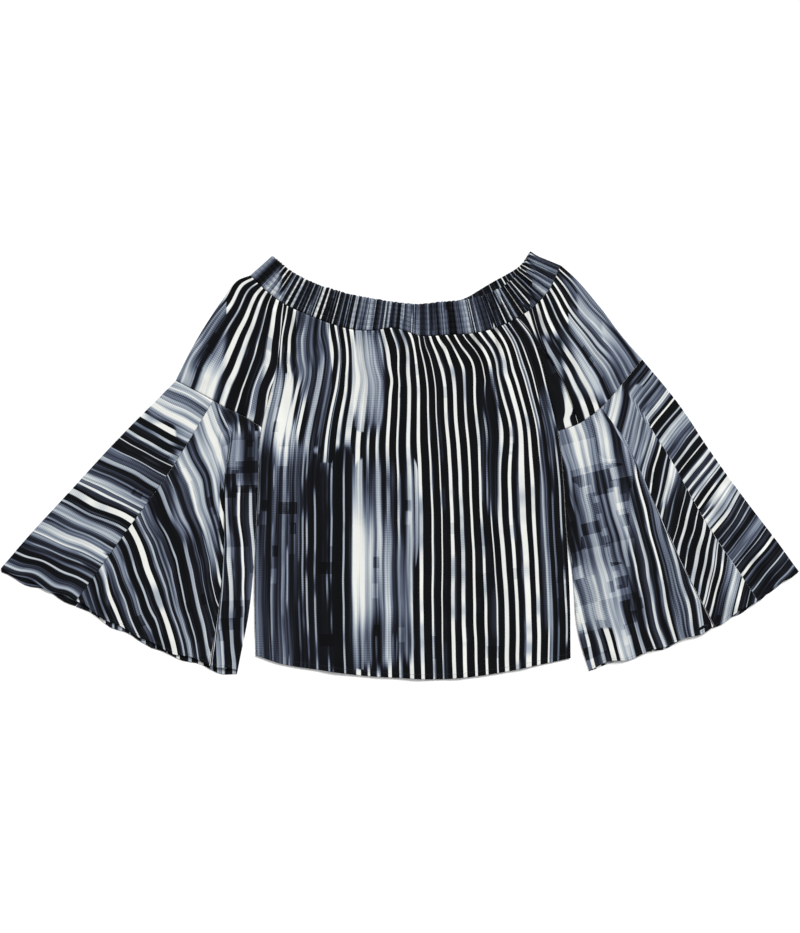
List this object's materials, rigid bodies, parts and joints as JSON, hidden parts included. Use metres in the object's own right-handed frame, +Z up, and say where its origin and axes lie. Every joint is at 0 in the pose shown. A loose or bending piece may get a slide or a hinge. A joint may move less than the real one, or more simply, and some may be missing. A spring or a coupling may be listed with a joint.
{
  "type": "blouse",
  "caption": "Off-the-shoulder blouse laid flat: shirred neckband ring, gathered front and back, raglan sleeves and wide bell flounces in navy, white and grey stripes.",
  "frame": {"origin": "middle of the laid-out garment's outline, on the surface that it lies on", "axes": "+X across the garment to the right as seen from above, +Y toward the neck, +Z up out of the surface"},
  "size_m": [1.1958, 0.642, 0.0068],
  "materials": {
    "band_cloth": "shirred striped crepe over elastic",
    "body_cloth": "striped crepe, matt with a soft sheen",
    "sleeve_cloth": "striped crepe, matt with a soft sheen",
    "flounce_cloth": "striped crepe, matt with a soft sheen"
  },
  "bodies": {
    "root": {"neck_band": "band_cloth", "front_body": "body_cloth", "back_body": "body_cloth", "left_sleeve": "sleeve_cloth", "right_sleeve": "sleeve_cloth", "left_flounce_outer": "flounce_cloth", "left_flounce_inner": "flounce_cloth", "right_flounce_outer": "flounce_cloth", "right_flounce_inner": "flounce_cloth"}
  },
  "joints": []
}
